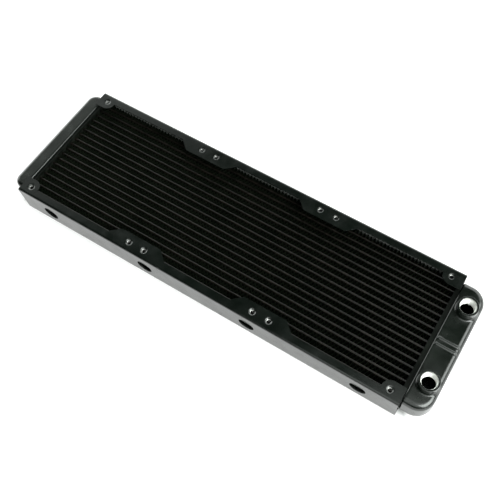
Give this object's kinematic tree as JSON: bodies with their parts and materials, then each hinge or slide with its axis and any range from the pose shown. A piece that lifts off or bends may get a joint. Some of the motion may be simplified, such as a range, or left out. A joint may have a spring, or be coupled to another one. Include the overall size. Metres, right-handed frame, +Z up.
{
  "type": "liquid cooling radiator",
  "caption": "Long flat black liquid cooling radiator with a finned tube core, channel side rails with fan screw holes, an end tank at each end and threaded ports on one of them.",
  "frame": {"origin": "centre of the middle fan's screw pattern, on the bottom face of the rails", "axes": "+X runs along the radiator towards the tank with the ports, +Y across it, +Z up out of the face that the ports stand on"},
  "size_m": [0.398, 0.12, 0.0355],
  "materials": {
    "rail_black": "satin black powder coat",
    "header_black": "satin black paint over solder",
    "tank_black": "semi-gloss black paint",
    "divider_brass": "plain brass",
    "port_metal": "bare machined thread in a black bush",
    "core_black": "thin matt black paint",
    "tube_black": "thin matt black paint",
    "fin_black": "thin matt black paint"
  },
  "bodies": {
    "root": {"front_rail": "rail_black", "rear_rail": "rail_black", "port_header": "header_black", "return_header": "header_black", "port_tank": "tank_black", "return_tank": "tank_black", "tank_divider": "divider_brass", "inlet_port_bush": "port_metal", "outlet_port_bush": "port_metal", "front_side_plate": "core_black", "rear_side_plate": "core_black", "tube_01": "tube_black", "tube_02": "tube_black", "tube_03": "tube_black", "tube_04": "tube_black", "tube_05": "tube_black", "tube_06": "tube_black", "tube_07": "tube_black", "tube_08": "tube_black", "tube_09": "tube_black", "tube_10": "tube_black", "tube_11": "tube_black", "tube_12": "tube_black", "tube_13": "tube_black", "tube_14": "tube_black", "tube_15": "tube_black", "tube_16": "tube_black", "tube_17": "tube_black", "tube_18": "tube_black", "fin_01": "fin_black", "fin_02": "fin_black", "fin_03": "fin_black", "fin_04": "fin_black", "fin_05": "fin_black", "fin_06": "fin_black", "fin_07": "fin_black", "fin_08": "fin_black", "fin_09": "fin_black", "fin_10": "fin_black", "fin_11": "fin_black", "fin_12": "fin_black", "fin_13": "fin_black", "fin_14": "fin_black", "fin_15": "fin_black", "fin_16": "fin_black", "fin_17": "fin_black", "fin_18": "fin_black", "fin_19": "fin_black"}
  },
  "joints": []
}
